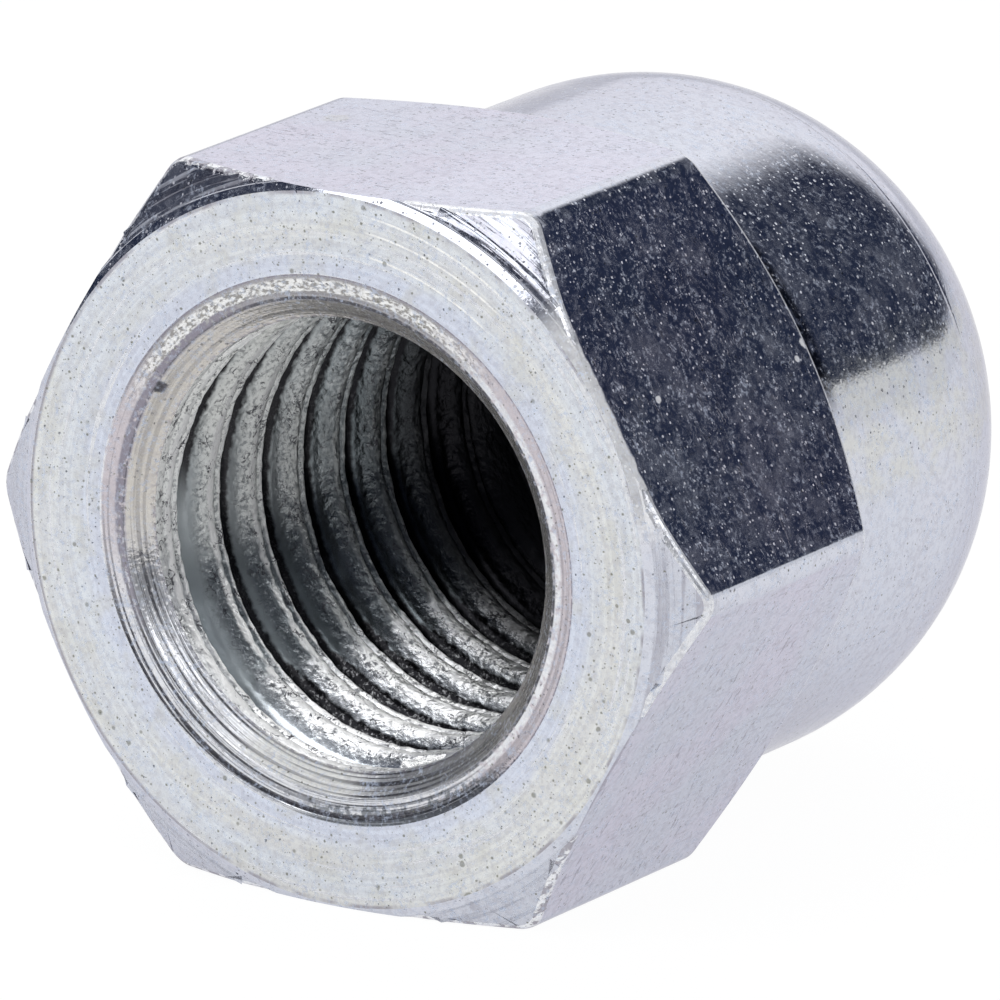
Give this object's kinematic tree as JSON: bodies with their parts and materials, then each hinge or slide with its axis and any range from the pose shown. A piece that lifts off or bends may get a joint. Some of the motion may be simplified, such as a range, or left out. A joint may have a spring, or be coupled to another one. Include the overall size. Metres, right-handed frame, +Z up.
{
  "type": "domed cap nut",
  "caption": "Hexagon nut with a closed domed cap: a blind threaded hole covers and guards the end of a bolt.",
  "frame": {"origin": "on the surface that the nut lies on, under the middle of its length", "axes": "+Z up; +Y along the thread's axis from the bearing face to the dome; one flat of the hexagon lies on the surface"},
  "size_m": [0.0194, 0.0204, 0.017],
  "materials": {
    "zinc_plated_steel": "bright zinc plate, satin"
  },
  "bodies": {
    "root": {"cap_nut": "zinc_plated_steel"}
  },
  "joints": []
}
